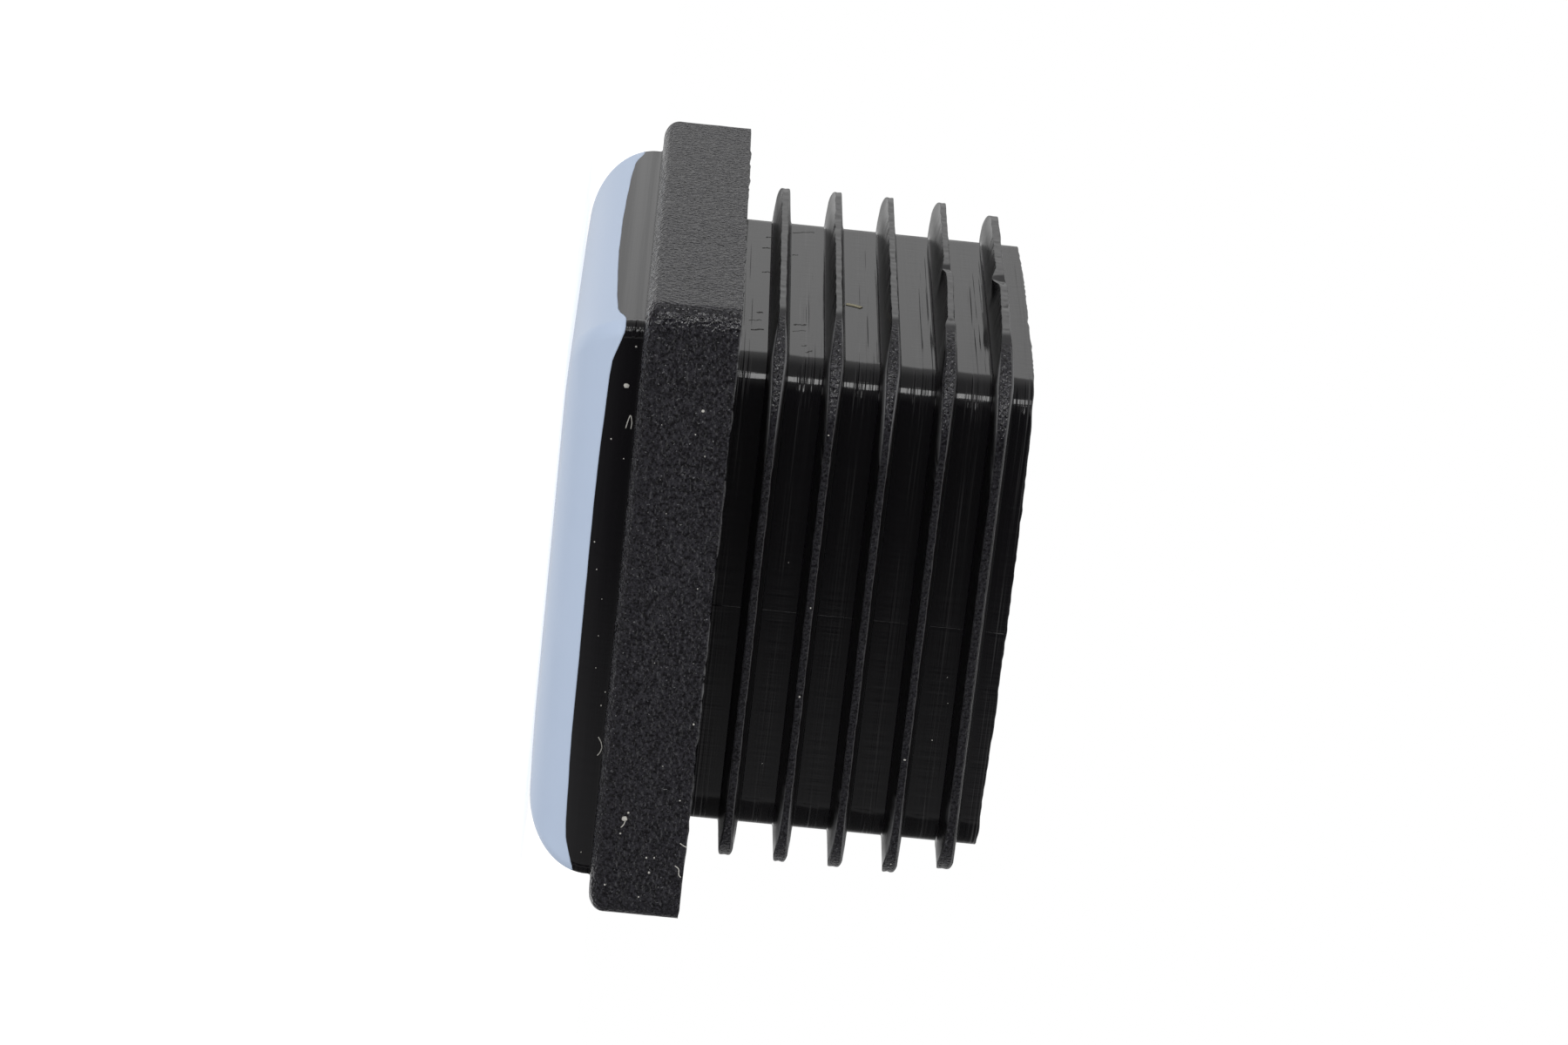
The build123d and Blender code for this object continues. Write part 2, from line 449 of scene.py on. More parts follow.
# rings along a flank: share of the way to the tip, and the fillet's extra half thickness
FLANK_RINGS = ((0.0, 0.06), (0.04, 0.015), (0.10, 0.0), (0.5, 0.0))
FLANK_DULL_RISE = 8
BEVEL_RINGS = ((0.04, 0.0), (0.012, 0.012))  # how far back and in each is
BEVEL_DULL = 0.6
TIP_RINGS = ((0.16, 0), (0.5, 1), (0.84, 0))  # share of the tip's height, and of its dips
MITRE_SOFTNESS = 1.2
THINNEST_SHARE = 1.2


def rib_wave(kind, number, side=0):
    """A wave of this kind along a rib; side is 1 for the upper edge of its tip."""
    seed, spacing, amount = kind
    return wave(seed + UPPER_EDGE_SEEDS * side + number, spacing, amount)


def tent(place, start, peak, end):
    """1 at the peak, falling to 0 at the start and at the end, along -Y."""
    return np.interp(-place, (-start, -peak, -end), (0.0, 1.0, 0.0))


def soft_max(a, b):
    """The larger of two lengths, with the change from one to the other made soft."""
    closeness = np.clip(1 - np.abs(a - b) / (2 * MITRE_SOFTNESS), 0, 1)
    return np.maximum(a, b) + MITRE_SOFTNESS / 4 * closeness**2


def rib_half_thickness(x, y):
    tip_half = RIB_TIP_HALF_Y + (RIB_TIP_HALF_X - RIB_TIP_HALF_Y) * FACES_X
    reach = RIB_REACH_Y + (RIB_REACH_X - RIB_REACH_Y) * FACES_X
    share = (soft_max(np.abs(x), np.abs(y)) - STEM_HALF) / (reach - STEM_HALF)
    return RIB_ROOT_HALF + (tip_half - RIB_ROOT_HALF) * np.clip(share, 0, THINNEST_SHARE)


def rib_edges(number, tip_x, tip_y):
    """Shift and wear of the lower and of the upper edge of a rib's tip."""
    edges = []
    for side in (0, 1):
        shift = rib_wave(RIB_BEND, number, side) + rib_wave(RIB_JITTER, number, side)
        edges.append([shift, np.abs(rib_wave(RIB_WEAR, number, side))])
    for rib, start, peak, end, *amounts in RIB_FLAWS:
        if rib == number:
            strength = tent(tip_y, start, peak, end) * (tip_x < FLAWED_SIDE_LIMIT)
            for side in (0, 1):
                edges[side][0] = edges[side][0] + amounts[side] * strength
                edges[side][1] = edges[side][1] + amounts[2 + side] * strength
    return edges


def tip_scratches(number, tip_x, tip_y):
    scratch = np.zeros(STATIONS)
    for rib, start, end in TIP_SCRATCHES:
        if rib == number:
            scratched = (tip_x < FLAWED_SIDE_LIMIT) & (tip_y < start) & (tip_y > end)
            scratch = np.where(scratched, SCRATCH_STRENGTH, scratch)
    return scratch


def add_rib(body, number):
    centre = FIRST_RIB_LEVEL + number * RIB_PITCH
    setback = RIB_SETBACKS[number]
    root_x, root_y = rounded_square(STEM_HALF, STEM_CORNER_RADIUS)
    tip_x, tip_y = rounded_square(RIB_REACH_Y - setback, RIB_CORNER_RADIUS)
    tip_x = tip_x * (RIB_REACH_X - setback) / (RIB_REACH_Y - setback)
    length = np.hypot(tip_x - root_x, tip_y - root_y)
    edges = rib_edges(number, tip_x, tip_y)

    from_middle = np.minimum(np.abs(tip_x), np.abs(tip_y))
    leaf_start = LEAF_START_ON_Y_SIDES + LEAF_START_SHIFT * FACES_X
    leaf = np.clip((from_middle - leaf_start) / (LEAF_FULL - leaf_start), 0, 1)
    tip_grain = np.maximum(leaf, TIP_GRAIN_ON_Y_SIDES * (1 - FACES_X))
    # pale paint on the leaves' edges: partly wear, partly a painted highlight where the edges
    # catch the light
    rub_and_highlight = RUB_AND_HIGHLIGHT_STRENGTH * leaf * np.clip(rib_wave(RIB_RUB_AND_HIGHLIGHT, number) + RUB_AND_HIGHLIGHT_OFFSET, 0, 1)
    # the upper edge takes the pale scratches together with this pale paint, so it also carries
    # the painted highlight
    scratched = np.maximum(rub_and_highlight, tip_scratches(number, tip_x, tip_y))
    dips = np.abs(rib_wave(RIB_DIPS, number)) + LEAF_DIP * leaf

    def flank(side, share, extra=0.0):
        """Points along the lower or upper flank, this share of the way to the tip."""
        shift, wear = edges[side]
        reach = share * (1 - wear / length)
        x = root_x + (tip_x - root_x) * reach
        y = root_y + (tip_y - root_y) * reach
        half = rib_half_thickness(x, y) + extra
        return x, y, centre + (2 * side - 1) * half + share**4 * shift

    def add_flank(side, rings):
        for share, extra in rings:
            dull = min(1, share * FLANK_DULL_RISE)
            body.add_points(*flank(side, share, extra), dull=dull)

    def add_bevel(side, rings, worn):
        for back, inwards in rings:
            x, y, level = flank(side, 1 - back / length)
            level = level + (1 - 2 * side) * inwards
            body.add_points(x, y, level, dull=BEVEL_DULL, worn=worn)

    # the bevels of the lower and upper edge take the pale paint of wear and painted highlight
    add_flank(0, FLANK_RINGS)
    add_bevel(0, BEVEL_RINGS, rub_and_highlight)
    low = flank(0, 1.0)
    high = flank(1, 1.0)
    for share, dip in TIP_RINGS:
        x, y, level = (a + share * (b - a) for a, b in zip(low, high))
        inwards = 1 - dip * dips / np.hypot(x, y)
        body.add_points(x * inwards, y * inwards, level, grain=tip_grain)
    add_bevel(1, reversed(BEVEL_RINGS), scratched)
    add_flank(1, reversed(FLANK_RINGS))


# ---- insert body: end of the stem and cavity -----------------------------------------

# the cut-off end of the stem bows, and is chipped here and there: x, y, reach, shift
END_MARGIN = 0.04
END_BOW = 0.10
END_WAVES = ((51, 2.6, 0.02), (52, 0.5, 0.025))
END_FLAWS = (
    (-13.55, -1.8, 0.7, -0.09),
    (-13.55, 10.5, 2.5, -0.03),
    (-13.0, -13.4, 1.2, -0.03),
    (9.8, -13.55, 1.8, -0.07),
    (13.0, -13.4, 0.6, -0.06),
    (-13.4, 12.9, 0.8, 0.05),
)

# rings over the end, half side and depth below it, and the grain of the sawn face
OUTER_END_RINGS = ((STEM_HALF, 0.5), (STEM_HALF, 0.04), (STEM_HALF - 0.04, 0.0))
INNER_END_RING = (CAVITY_HALF + 0.04, 0.03)
END_GRAIN = 0.3

# rings down the cavity, and half side and height of those in and on its floor's fillet
CAVITY_START = 0.1
CAVITY_RINGS = (18.0, 11.0, CAVITY_FLOOR + 0.3)
FLOOR_RINGS = (
    (CAVITY_HALF - 0.1, 0.08), (CAVITY_HALF - 0.3, 0.0), (CAVITY_HALF - 0.4, 0.0),
    (6.0, 0.0), (5.0, 0.0),
)
FLOOR_LINES = 0.2
BODY_SHARP_DEGREES = 35


def add_stem_end_and_cavity(body):
    places = rounded_square(STEM_HALF, STEM_CORNER_RADIUS)
    from_middle = np.minimum(np.abs(places[0]), np.abs(places[1])) / STEM_HALF
    end = with_waves(STEM_TOP - END_MARGIN - END_BOW * from_middle**2, END_WAVES)
    for x, y, reach, shift in END_FLAWS:
        end = end + shift * near(places, x, y, reach)
    for half, depth in OUTER_END_RINGS:
        body.add(half, STEM_CORNER_RADIUS, end - depth, lines=CUTTER_LINES)
    half, depth = INNER_END_RING
    body.add(half, CAVITY_CORNER_RADIUS, end - depth, grain=END_GRAIN)
    for level in (end - CAVITY_START, *CAVITY_RINGS):
        body.add(CAVITY_HALF, CAVITY_CORNER_RADIUS, level, lines=CUTTER_LINES)
    for half, height in FLOOR_RINGS:
        body.add(half, CAVITY_CORNER_RADIUS, CAVITY_FLOOR + height, lines=FLOOR_LINES)


def insert_body(material):
    body = Shell(SKIN_THICKNESS + SEAM_GAP, CAVITY_FLOOR)
    add_core_and_band(body)
    add_flange(body)
    body.add(STEM_HALF, STEM_CORNER_RADIUS, FLANGE_TOP + STEM_FOOT, lines=CUTTER_LINES)
    for number in range(RIB_COUNT):
        if number > 0:
            middle = FIRST_RIB_LEVEL + (number - 0.5) * RIB_PITCH
            body.add(STEM_HALF, STEM_CORNER_RADIUS, middle, lines=CUTTER_LINES)
        add_rib(body, number)
    add_stem_end_and_cavity(body)
    return body.build("insert_body_surface", material, BODY_SHARP_DEGREES)


# ---- dust, lint, straw, scuffs and the parting line ----------------------------------

BAND_FACE = -PAD_HALF
FLANGE_FACE = -FLANGE_HALF
TIP_FACE = -RIB_REACH_Y
STEM_FACE = -STEM_HALF

# specks on the sides at -Y: the face, and the x, z and radius of each
SPECKS = (
    (BAND_FACE, (
        (-12.51, 3.28, 0.125), (-14.71, 3.57, 0.045), (-9.48, 2.74, 0.050),
        (-8.45, 3.50, 0.040), (-3.62, 2.40, 0.035), (-2.07, 2.65, 0.035),
        (-0.41, 3.08, 0.030), (1.70, 3.09, 0.030), (3.56, 3.12, 0.030),
        (4.90, 3.75, 0.040), (5.70, 3.60, 0.045), (14.40, 3.30, 0.035),
    )),
    (FLANGE_FACE, (
        (-12.09, 7.36, 0.095), (11.47, 5.45, 0.120), (11.10, 5.62, 0.070),
        (12.36, 5.30, 0.060), (13.64, 6.83, 0.060), (13.60, 7.25, 0.050),
        (14.50, 7.05, 0.055), (15.47, 4.75, 0.045), (16.00, 6.63, 0.040),
        (-10.75, 7.10, 0.040), (-9.60, 7.70, 0.035), (-11.10, 5.30, 0.030),
        (-2.15, 8.05, 0.040), (5.60, 8.60, 0.050), (2.30, 6.20, 0.030),
        (10.10, 8.30, 0.040), (-6.20, 6.00, 0.030), (8.20, 7.20, 0.030),
    )),
    (TIP_FACE, (
        (4.05, 14.10, 0.055), (-10.90, 14.05, 0.040), (-1.10, 14.15, 0.035),
        (13.30, 20.05, 0.045),
    )),
    (STEM_FACE, (
        (6.85, 21.60, 0.050), (4.60, 22.20, 0.035), (3.10, 22.00, 0.035),
        (-7.80, 23.60, 0.040),
    )),
    (TIP_FACE, ((7.10, 20.10, 0.060),)),
    (STEM_FACE, (
        (-12.90, 20.80, 0.045), (9.20, 12.60, 0.030), (-2.60, 12.80, 0.030),
    )),
)
SPECK_SEED = 7
SPECK_STRETCH = (0.75, 1.3)
SPECK_LUMPINESS = (0.85, 1.12)
SPECK_FLATNESS = 0.6
SPECK_STANDOFF = 0.2  # of its radius

# fibres on the sides at -Y: face, and the points (x, z) that each follows
FIBRES = (
    (BAND_FACE, ((7.55, 3.62), (7.80, 3.78), (8.10, 3.86), (8.40, 3.80), (8.62, 3.66))),
    (BAND_FACE, ((-10.90, 3.62), (-10.55, 3.52), (-10.16, 3.45))),
    (BAND_FACE, ((-10.88, 3.66), (-10.50, 3.74), (-10.15, 3.72))),
    (FLANGE_FACE, ((12.60, 8.55), (12.72, 8.75), (12.80, 8.93))),
    (FLANGE_FACE, ((13.95, 8.40), (14.12, 8.62), (14.45, 8.66), (14.60, 8.78))),
    (FLANGE_FACE, ((11.60, 5.50), (11.85, 5.42), (12.00, 5.30))),
)
FIBRE_RADIUS = 0.028
FIBRE_STANDOFF = 0.5  # of its radius

# straw lying on the side of the stem at -X: the points (y, z) of its middle line
STRAW_LINE = ((-1.98, 14.76), (-2.05, 15.03), (-2.17, 15.30), (-2.36, 15.58))
STRAW_HALF_WIDTH = 0.18
STRAW_HALF_HEIGHT = 0.03
STRAW_STANDOFF = 0.8  # of its half height

# dark scuffs on the side of the stem at -X: y and z where each starts and ends
SCUFFS = (
    (-6.33, 9.47, -6.13, 10.13), (-7.98, 9.58, -7.61, 10.28), (6.51, 10.03, 6.66, 10.47),
    (2.18, 10.08, 2.34, 10.56), (8.60, 10.26, 8.72, 10.60), (-7.42, 11.84, -7.20, 12.54),
    (-6.37, 11.93, -6.18, 12.54), (-9.72, 12.32, -9.64, 12.60), (-10.79, 12.55, -10.41, 12.88),
    (9.99, 11.74, 10.41, 12.99), (5.80, 11.76, 5.90, 12.06), (-4.90, 9.90, -4.84, 10.20),
)
SCUFF_SEED = 11
SCUFF_POINTS = 7
SCUFF_JITTER = 0.09
SCUFF_HALF_WIDTH = 0.09
SCUFF_WIDTH_RANGE = (0.4, 1.3)
SCUFF_HALF_HEIGHT = 0.008

# the mould's parting line, on the side of the stem at -Y
PARTING_LINE_X = 0.26
PARTING_LINE_HALF_WIDTH = 0.035
PARTING_LINE_HEIGHT = 0.02
PARTING_LINE_ENDS = (FLANGE_TOP + STEM_FOOT, STEM_TOP - 0.2)
PARTING_LINE_POINTS = 24

ALONG_X = Vector((1, 0, 0))
ALONG_Y = Vector((0, 1, 0))
TUBE_SIDES = 8
CURVE_STEPS = 5


def new_piece(name, shape, material):
    mesh = bpy.data.meshes.new(name)
    shape.to_mesh(mesh)
    shape.free()
    mesh.shade_smooth()
    mesh.materials.append(material)
    return new_object(name, mesh)


def dust_specks(material):
    """Small lumps, flattened against the face that they stick to."""
    random = np.random.default_rng(SPECK_SEED)
    shape = bmesh.new()
    for face, specks in SPECKS:
        for x, z, radius in specks:
            stretch = random.uniform(*SPECK_STRETCH, 2)
            lump = bmesh.ops.create_icosphere(shape, subdivisions=2, radius=radius * MM)
            out = (face - SPECK_STANDOFF * radius) * MM
            for corner in lump["verts"]:
                corner.co *= random.uniform(*SPECK_LUMPINESS)
                corner.co.x = corner.co.x * stretch[0] + x * MM
                corner.co.z = corner.co.z * stretch[1] + z * MM
                corner.co.y = corner.co.y * SPECK_FLATNESS + out
    return new_piece("dust_specks", shape, material)


def tube(shape, middle_line, across, half_width, half_height):
    """A closed tube of oval section along a line of points; its width is along across."""
    rings = []
    count = len(middle_line)
    for number, point in enumerate(middle_line):
        before = middle_line[max(number - 1, 0)]
        after = middle_line[min(number + 1, count - 1)]
        forward = (after - before).normalized()
        out = forward.cross(across).normalized()
        wide = out.cross(forward)
        ring = []
        for side in range(TUBE_SIDES):
            turn = 2 * math.pi * side / TUBE_SIDES
            offset = wide * (half_width * math.cos(turn)) + out * (half_height * math.sin(turn))
            ring.append(shape.verts.new((point + offset) * MM))
        rings.append(ring)
    for low, high in zip(rings, rings[1:]):
        for side in range(TUBE_SIDES):
            after = (side + 1) % TUBE_SIDES
            shape.faces.new((low[side], low[after], high[after], high[side]))
    shape.faces.new(reversed(rings[0]))
    shape.faces.new(rings[-1])


def smooth_line(points):
    """Points along a smooth curve through the given ones."""
    ends = [points[0]] + list(points) + [points[-1]]
    line = []
    for a, b, c, d in zip(ends, ends[1:], ends[2:], ends[3:]):
        for step in range(CURVE_STEPS):
            t = step / CURVE_STEPS
            square = (2 * a - 5 * b + 4 * c - d) * t**2
            cube = (3 * b - a - 3 * c + d) * t**3
            line.append(0.5 * (2 * b + (c - a) * t + square + cube))
    return line + [points[-1]]


def lint_fibres(material):
    shape = bmesh.new()
    for face, places in FIBRES:
        points = [Vector((x, face - FIBRE_STANDOFF * FIBRE_RADIUS, z)) for x, z in places]
        tube(shape, smooth_line(points), ALONG_Y, FIBRE_RADIUS, FIBRE_RADIUS)
    return new_piece("lint_fibres", shape, material)


def straw_fibre(material):
    shape = bmesh.new()
    x = -STEM_HALF - STRAW_STANDOFF * STRAW_HALF_HEIGHT
    points = [Vector((x, y, z)) for y, z in STRAW_LINE]
    tube(shape, smooth_line(points), ALONG_Y, STRAW_HALF_WIDTH, STRAW_HALF_HEIGHT)
    return new_piece("straw_fibre", shape, material)


def scuff_marks(material):
    """Ragged streaks of dirt, each thin and closed, on the wall they were rubbed onto."""
    random = np.random.default_rng(SCUFF_SEED)
    shape = bmesh.new()
    for start_y, start_z, end_y, end_z in SCUFFS:
        line = []
        for share in np.linspace(0, 1, SCUFF_POINTS):
            jitter = random.uniform(-SCUFF_JITTER, SCUFF_JITTER)
            y = start_y + share * (end_y - start_y) + jitter
            line.append(Vector((-STEM_HALF, y, start_z + share * (end_z - start_z))))
        half_width = SCUFF_HALF_WIDTH * random.uniform(*SCUFF_WIDTH_RANGE)
        tube(shape, line, ALONG_X, SCUFF_HALF_HEIGHT, half_width)
    return new_piece("scuff_marks", shape, material)


def parting_line(material):
    """The fine ridge that the mould's halves left along the stem's side at -Y."""
    shape = bmesh.new()
    levels = np.linspace(*PARTING_LINE_ENDS, PARTING_LINE_POINTS)
    line = [Vector((PARTING_LINE_X, -STEM_HALF, level)) for level in levels]
    tube(shape, line, ALONG_X, PARTING_LINE_HALF_WIDTH, PARTING_LINE_HEIGHT)
    return new_piece("parting_line", shape, material)


# ---- materials -----------------------------------------------------------------------

NOISE_ROUGHNESS = 0.6

BLACK_IOR = 1.48
NEAR_BLACK = (0.0050, 0.0046, 0.0056, 1)
GRAIN_GREY = (0.0225, 0.0216, 0.0270, 1)
# the pale grey of torn and rubbed edges, which on the rib tips' edges is partly a painted
# highlight
WEAR_AND_HIGHLIGHT_GREY = (0.17, 0.17, 0.175, 1)

# noises of the black moulding: cells per metre along X, Y and Z, and detail
PITS = ((5400, 5400, 5400), 0.7)
ROUND_LINES = ((90, 90, 6500), 1)
ALONG_LINES = ((3500, 3500, 60), 2)
SPECKLE = ((7000, 5000, 7000), 1)
BLACK_CLOUDS = ((180, 180, 180), 4)

PIT_BUMP = 0.00014
LINE_BUMP = 0.00012
ALONG_LINES_SHARE = 0.10
SPECKLE_FROM = 0.30
SPECKLE_TO = 0.70

# roughness of the polished walls, and what clouds, lines, grain, dullness and wear add
POLISH = 0.02
CLOUDS_ADD = 0.06
ALONG_LINES_ADD = 0.05
CUTTER_LINES_ADD = 0.06
GRAIN_ADDS = 0.20
DULL_ADDS = 0.30
WORN_ADDS = 0.30

FILM_IOR = 1.60
FILM_BLUES = ((0.450, 0.543, 0.704, 1), (0.482, 0.574, 0.735, 1))
FILM_CLOUDS = ((260, 260, 260), 3)
FILM_RIPPLE = ((1500, 1500, 1500), 3)
FILM_ROUGHNESS = 0.34
FILM_CLOUDS_ADD = 0.14
FILM_BUMP = 0.00001
FILM_BUMP_STRENGTH = 0.5

# loose matter: two colours, mixed by this noise, and roughness
MATTER_NOISE = ((5000, 5000, 5000), 2)
DUST = ((0.30, 0.29, 0.27, 1), (0.55, 0.54, 0.50, 1), 0.8)
STRAW = ((0.26, 0.24, 0.15, 1), (0.40, 0.37, 0.27, 1), 0.7)
DIRT = ((0.030, 0.029, 0.029, 1), (0.085, 0.082, 0.080, 1), 0.75)


class Nodes:
    """Short names for making and joining shader nodes."""

    def __init__(self, tree):
        self.tree = tree
        tree.nodes.clear()

    def new(self, kind, **settings):
        """A node; a setting whose name starts with in_ is one of its inputs."""
        node = self.tree.nodes.new(kind)
        for key, value in settings.items():
            if key.startswith("in_"):
                node.inputs[key[3:].replace("_", " ")].default_value = value
            else:
                setattr(node, key, value)
        return node

    def link(self, source, target):
        self.tree.links.new(source, target)

    def math(self, operation, first, second):
        node = self.new("ShaderNodeMath", operation=operation)
        for socket, value in zip(node.inputs, (first, second)):
            if isinstance(value, (int, float)):
                socket.default_value = value
            else:
                self.link(value, socket)
        return node.outputs[0]

    def weighted(self, start, terms):
        """A number, plus each value times its weight."""
        total = start
        for value, weight in terms:
            total = self.math("ADD", self.math("MULTIPLY", value, weight), total)
        return total

    def attribute(self, name):
        return self.new("ShaderNodeAttribute", attribute_name=name).outputs["Fac"]

    def noise(self, coordinate, stretch, detail):
        """Noise whose cells have these frequencies along X, Y and Z, in cells per metre."""
        mapping = self.new("ShaderNodeMapping", in_Scale=stretch)
        self.link(coordinate, mapping.inputs["Vector"])
        noise = self.new(
            "ShaderNodeTexNoise", in_Scale=1.0, in_Detail=detail, in_Roughness=NOISE_ROUGHNESS
        )
        self.link(mapping.outputs[0], noise.inputs["Vector"])
        return noise.outputs["Fac"]

    def mix(self, factor, first, second):
        """The first colour, or the node's that it comes from, turning into the second."""
        node = self.new("ShaderNodeMixRGB", blend_type="MIX", in_Color2=second)
        self.link(factor, node.inputs["Fac"])
        if isinstance(first, tuple):
            node.inputs["Color1"].default_value = first
        else:
            self.link(first, node.inputs["Color1"])
        return node.outputs[0]

    def bump(self, height, distance, strength=1.0, normal=None):
        node = self.new("ShaderNodeBump", in_Strength=strength, in_Distance=distance)
        self.link(height, node.inputs["Height"])
        if normal:
            self.link(normal, node.inputs["Normal"])
        return node.outputs[0]

    def smooth_step(self, value, start, end, height):
        """A soft step of this height in a value, between start and end."""
        step = self.new(
            "ShaderNodeMapRange",
            interpolation_type="SMOOTHSTEP",
            in_From_Min=start,
            in_From_Max=end,
            in_To_Max=height,
        )
        self.link(value, step.inputs["Value"])
        return step.outputs[0]


def new_material(name):
    material = bpy.data.materials.new(name)
    material.use_nodes = True
    return material, Nodes(material.node_tree)


def surface_shader(nodes, **settings):
    """The shader, joined to the material's output, and the coordinate its noises use."""
    out = nodes.new("ShaderNodeOutputMaterial")
    shader = nodes.new("ShaderNodeBsdfPrincipled", **settings)
    nodes.link(shader.outputs[0], out.inputs["Surface"])
    return shader, nodes.new("ShaderNodeTexCoord").outputs["Object"]


def black_moulding():
    material, nodes = new_material("black_moulding")
    shader, coordinate = surface_shader(nodes, in_IOR=BLACK_IOR)
    grain, cutter_lines, dull, worn = (nodes.attribute(key) for key in SURFACE_KEYS)

    # eroded grain of the flange and of the rib tips
    pits = nodes.noise(coordinate, *PITS)
    pit_height = nodes.math("MULTIPLY", pits, nodes.math("MULTIPLY", grain, grain))
    pitted = nodes.bump(pit_height, PIT_BUMP)

    # fine lines that the cutter left in the mould, round the stem and along it
    round_lines = nodes.noise(coordinate, *ROUND_LINES)
    along_lines = nodes.noise(coordinate, *ALONG_LINES)
    lines = nodes.weighted(round_lines, [(along_lines, ALONG_LINES_SHARE)])
    line_height = nodes.math("MULTIPLY", lines, cutter_lines)
    nodes.link(nodes.bump(line_height, LINE_BUMP, normal=pitted), shader.inputs["Normal"])

    # small light and dark specks in the grain
    speckle = nodes.noise(coordinate, *SPECKLE)
    speckle = nodes.smooth_step(speckle, SPECKLE_FROM, SPECKLE_TO, 1.0)
    speckle = nodes.math("MULTIPLY", nodes.math("MINIMUM", grain, 1.0), speckle)

    # gloss: the polished walls are smoother than the grain, with cloudy patches
    clouds = nodes.noise(coordinate, *BLACK_CLOUDS)
    additions = (
        (clouds, CLOUDS_ADD),
        (along_lines, ALONG_LINES_ADD),
        (cutter_lines, CUTTER_LINES_ADD),
        (speckle, GRAIN_ADDS),
        (dull, DULL_ADDS),
        (worn, WORN_ADDS),
    )
    nodes.link(nodes.weighted(POLISH, additions), shader.inputs["Roughness"])

    # colour: near black, lighter in the grain, and pale where an edge is torn or rubbed, which
    # on the rib tips' edges is partly a painted highlight
    tone = nodes.mix(speckle, NEAR_BLACK, GRAIN_GREY)
    nodes.link(nodes.mix(worn, tone, WEAR_AND_HIGHLIGHT_GREY), shader.inputs["Base Color"])
    return material


def pale_glide_film():
    material, nodes = new_material("pale_glide_film")
    shader, coordinate = surface_shader(nodes, in_IOR=FILM_IOR)
    clouds = nodes.noise(coordinate, *FILM_CLOUDS)
    nodes.link(nodes.mix(clouds, *FILM_BLUES), shader.inputs["Base Color"])
    rough = nodes.weighted(FILM_ROUGHNESS, [(clouds, FILM_CLOUDS_ADD)])
    nodes.link(rough, shader.inputs["Roughness"])
    ripple = nodes.noise(coordinate, *FILM_RIPPLE)
    nodes.link(nodes.bump(ripple, FILM_BUMP, FILM_BUMP_STRENGTH), shader.inputs["Normal"])
    return material


def loose_matter(name, colour, other_colour, roughness):
    """Dust, straw or dirt: two mixed colours and a matte surface."""
    material, nodes = new_material(name)
    shader, coordinate = surface_shader(nodes, in_Roughness=roughness)
    tone = nodes.mix(nodes.noise(coordinate, *MATTER_NOISE), colour, other_colour)
    nodes.link(tone, shader.inputs["Base Color"])
    return material


# ---- studio --------------------------------------------------------------------------

CAMERA_AT = Vector((-0.10052, -0.26443, 0.00417))
CAMERA_TARGET = Vector((0.00031, 0.0, 0.01276))
CAMERA_ROLL = math.radians(-6.373)
CAMERA_LENS = 115.77
CAMERA_CLIP_START = 0.01
SENSOR_WIDTH = 36.0

WHITE = (1, 1, 1, 1)
WORLD_ON_OBJECT = 0.88

KEY_DIRECTION = Vector((-0.87, -0.48, 0.03))
KEY_TARGET = Vector((0, 0, 12.4 * MM))
KEY_DISTANCE = 0.55
KEY_SIZE = (0.13, 0.26)
KEY_POWER = 0.60

ROOM_RADIUS = 0.9
ROOM_SEGMENTS = 48
ROOM_RINGS = 24
ROOM_DARK = 0.03

# soft steps in the room's glow: the axis and its sign, start, end and strength
ROOM_STEPS = (
    ("X", -1, 0.45, 0.95, 0.30),  # ceiling of the photograph
    ("Y", 1, 0.25, 1.0, 0.38),  # wall behind the object
    ("Z", -1, 0.2, 0.8, 0.10),  # wall to its left
    ("Z", 1, 0.15, 0.8, 0.80),  # wall to its right
    ("X", 1, 0.34, 0.44, 0.30),  # table that it lies on
    ("X", 1, 0.46, 0.62, -0.25),  # its shade there
)

# soft round patches: direction, degrees to where each is full and where it ends, strength
BACKDROP = ((0.29, 0.76, -0.57), 22.0, 32.0, 1.0)
WINDOW = ((-0.546, -0.671, -0.50), 6.0, 13.0, 6.0)
SCREEN = ((-0.276, 0.961, 0.02), 4.0, 14.0, 0.325)
REFLECTOR = ((-0.25, 0.93, -0.33), 7.0, 19.0, 0.22)

FLOOR_REACH = 4.0
FLOOR_CORNERS = ((-1, -1), (1, -1), (1, 1), (-1, 1))
FLOOR_COLOUR = (0.8, 0.8, 0.8, 1)
FLOOR_GLOW = 0.56


def make_camera():
    """The camera, held so that the picture's up is the object's -X, turned by the roll."""
    data = bpy.data.cameras.new("camera")
    data.lens = CAMERA_LENS
    data.sensor_width = SENSOR_WIDTH
    data.clip_start = CAMERA_CLIP_START
    camera = new_object("camera", data)
    forward = (CAMERA_TARGET - CAMERA_AT).normalized()
    up = Vector((-1, 0, 0))
    up = (up - up.dot(forward) * forward).normalized()
    right = forward.cross(up)
    turned_up = math.cos(CAMERA_ROLL) * up + math.sin(CAMERA_ROLL) * right
    turned_right = forward.cross(turned_up)
    placement = Matrix((turned_right, turned_up, -forward)).transposed().to_4x4()
    placement.translation = CAMERA_AT
    camera.matrix_world = placement
    bpy.context.scene.camera = camera


def seen_directly(nodes):
    """1 for what the camera sees, also in a reflection or through glass, and 0 for light."""
    path = nodes.new("ShaderNodeLightPath")
    seen = nodes.math("MAXIMUM", path.outputs["Is Camera Ray"], path.outputs["Is Glossy Ray"])
    return nodes.math("MAXIMUM", seen, path.outputs["Is Transmission Ray"])


